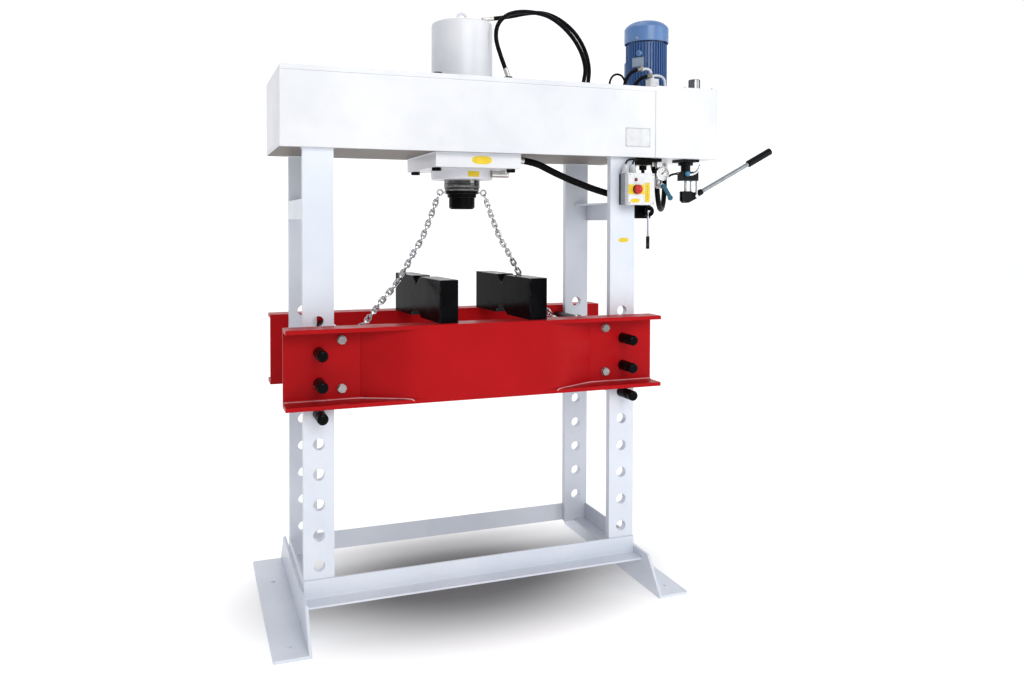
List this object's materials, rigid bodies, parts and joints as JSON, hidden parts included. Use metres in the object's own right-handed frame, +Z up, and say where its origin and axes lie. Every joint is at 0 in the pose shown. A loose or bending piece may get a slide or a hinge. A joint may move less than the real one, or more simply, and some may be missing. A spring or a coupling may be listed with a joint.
{
  "type": "hydraulic workshop press",
  "caption": "Free-standing H-frame hydraulic workshop press: drilled posts, pinned channel bed, box head with cylinder, electric power unit, hand pump and lever.",
  "frame": {"origin": "on the floor, straight under the ram axis, midway between the posts", "axes": "+X to the operator's right, +Y from the operator to the back, +Z up"},
  "size_m": [2.365, 0.95, 2.564],
  "materials": {
    "white_paint": "semi_gloss",
    "red_paint": "semi_gloss",
    "blue_paint": "semi_gloss",
    "black_steel": "satin",
    "bare_steel": "satin",
    "chrome": "polished",
    "brass": "satin",
    "hose_rubber": "satin",
    "grey_plastic": "matte",
    "white_plastic": "gloss",
    "black_plastic": "matte",
    "red_plastic": "gloss",
    "blue_plastic": "gloss"
  },
  "bodies": {
    "press": {"base_cross_rails": "white_paint", "base_side_rails": "white_paint", "bed_beam_front": "red_paint", "bed_beam_rear": "red_paint", "bed_closing_plates": "red_paint", "bed_tie_rods": "black_steel", "control_box_back": "grey_plastic", "control_box_cover": "white_plastic", "cylinder_barrel": "white_paint", "cylinder_mount": "white_paint", "foot_left": "white_paint", "foot_right": "white_paint", "frame_bolts": "black_steel", "gauge_case": "bare_steel", "gland_ring": "white_paint", "hand_pump_body": "black_steel", "head_bottom_plate": "white_paint", "head_front_plate": "white_paint", "head_rear_plate": "white_paint", "head_ribs": "white_paint", "head_top_plate": "white_paint", "hose_fittings": "brass", "hose_gauge": "hose_rubber", "hose_loop": "hose_rubber", "hose_lower": "hose_rubber", "hose_top_inner": "hose_rubber", "hose_top_outer": "hose_rubber", "hydraulic_pump": "bare_steel", "lifting_chains": "bare_steel", "motor_cowl": "blue_paint", "motor_frame": "blue_paint", "post_front_left": "white_paint", "post_front_right": "white_paint", "post_rear_left": "white_paint", "post_rear_right": "white_paint", "side_braces": "white_paint", "tank_lid": "white_paint", "tank_shell": "white_paint", "valve_block": "black_steel", "vee_block_left": "black_steel", "vee_block_right": "black_steel"},
    "ram": {"ram": "chrome", "ram_collar": "black_steel", "ram_nose": "black_steel", "ram_eyes": "bare_steel"},
    "pump_lever": {"hand_pump_lever": "bare_steel"},
    "pump_plunger": {"hand_pump_plunger": "bare_steel"},
    "valve_lever": {"valve_lever": "bare_steel"},
    "emergency_button": {"emergency_button": "red_plastic"},
    "gauge_needle": {"gauge_needle": "black_plastic"},
    "shutoff_handle": {"shutoff_handle": "blue_plastic"},
    "release_knob": {"release_knob": "blue_plastic"},
    "motor_rotor": {"motor_rotor": "bare_steel"},
    "filler_cap": {"filler_cap": "black_steel"},
    "pin_left_low": {"pin_left_low": "black_steel"},
    "pin_left_mid": {"pin_left_mid": "black_steel"},
    "pin_left_high": {"pin_left_high": "black_steel"},
    "pin_right_low": {"pin_right_low": "black_steel"},
    "pin_right_mid": {"pin_right_mid": "black_steel"},
    "pin_right_high": {"pin_right_high": "black_steel"}
  },
  "joints": [
    {"name": "ram_slide", "type": "slide", "parent": "press", "child": "ram", "axis": [0, 0, -1], "range_m": [0, 0.3], "deforming": ["lifting_chains"]},
    {"name": "pin_left_low_slide", "type": "slide", "parent": "press", "child": "pin_left_low", "axis": [0, -1, 0], "range_m": [0, 0.6]},
    {"name": "pin_left_mid_slide", "type": "slide", "parent": "press", "child": "pin_left_mid", "axis": [0, -1, 0], "range_m": [0, 0.6]},
    {"name": "pin_left_high_slide", "type": "slide", "parent": "press", "child": "pin_left_high", "axis": [0, -1, 0], "range_m": [0, 0.6]},
    {"name": "pin_right_low_slide", "type": "slide", "parent": "press", "child": "pin_right_low", "axis": [0, -1, 0], "range_m": [0, 0.6]},
    {"name": "pin_right_mid_slide", "type": "slide", "parent": "press", "child": "pin_right_mid", "axis": [0, -1, 0], "range_m": [0, 0.6]},
    {"name": "pin_right_high_slide", "type": "slide", "parent": "press", "child": "pin_right_high", "axis": [0, -1, 0], "range_m": [0, 0.6]},
    {"name": "pump_lever_hinge", "type": "hinge", "parent": "press", "child": "pump_lever", "pos_m": [1.066, -0.195, 1.716], "axis": [0, -1, 0], "range_deg": [-10, 22]},
    {"name": "valve_lever_hinge", "type": "hinge", "parent": "press", "child": "valve_lever", "pos_m": [0.79, -0.254, 1.644], "axis": [1, 0, 0], "range_deg": [-18, 18]},
    {"name": "emergency_button_slide", "type": "slide", "parent": "press", "child": "emergency_button", "axis": [0, 1, 0], "range_m": [0, 0.006], "stiffness_N_per_m": 1500},
    {"name": "gauge_needle_hinge", "type": "hinge", "parent": "press", "child": "gauge_needle", "pos_m": [0.861, -0.262, 1.813], "axis": [0, 1, 0], "range_deg": [0, 200]},
    {"name": "shutoff_handle_hinge", "type": "hinge", "parent": "press", "child": "shutoff_handle", "pos_m": [0.861, -0.25, 1.757], "axis": [0, 1, 0], "range_deg": [0, 90]},
    {"name": "release_knob_hinge", "type": "hinge", "parent": "press", "child": "release_knob", "pos_m": [1.008, -0.24, 1.816], "axis": [0, 1, 0], "range_deg": [0, 90]},
    {"name": "motor_spin", "type": "hinge", "parent": "press", "child": "motor_rotor", "pos_m": [0.965, 0.065, 2.3], "axis": [0, 0, 1], "continuous": true},
    {"name": "filler_cap_turn", "type": "hinge", "parent": "press", "child": "filler_cap", "pos_m": [1.069, -0.19, 2.2], "axis": [0, 0, 1], "range_deg": [0, 60]},
    {"name": "pump_plunger_slide", "type": "slide", "parent": "press", "child": "pump_plunger", "axis": [0, 0, 1], "range_m": [-0.0169, 0.0077]}
  ],
  "couplings": [
    {"joint": "pump_plunger_slide", "follows": "pump_lever_hinge", "m_per_rad": -0.044}
  ]
}
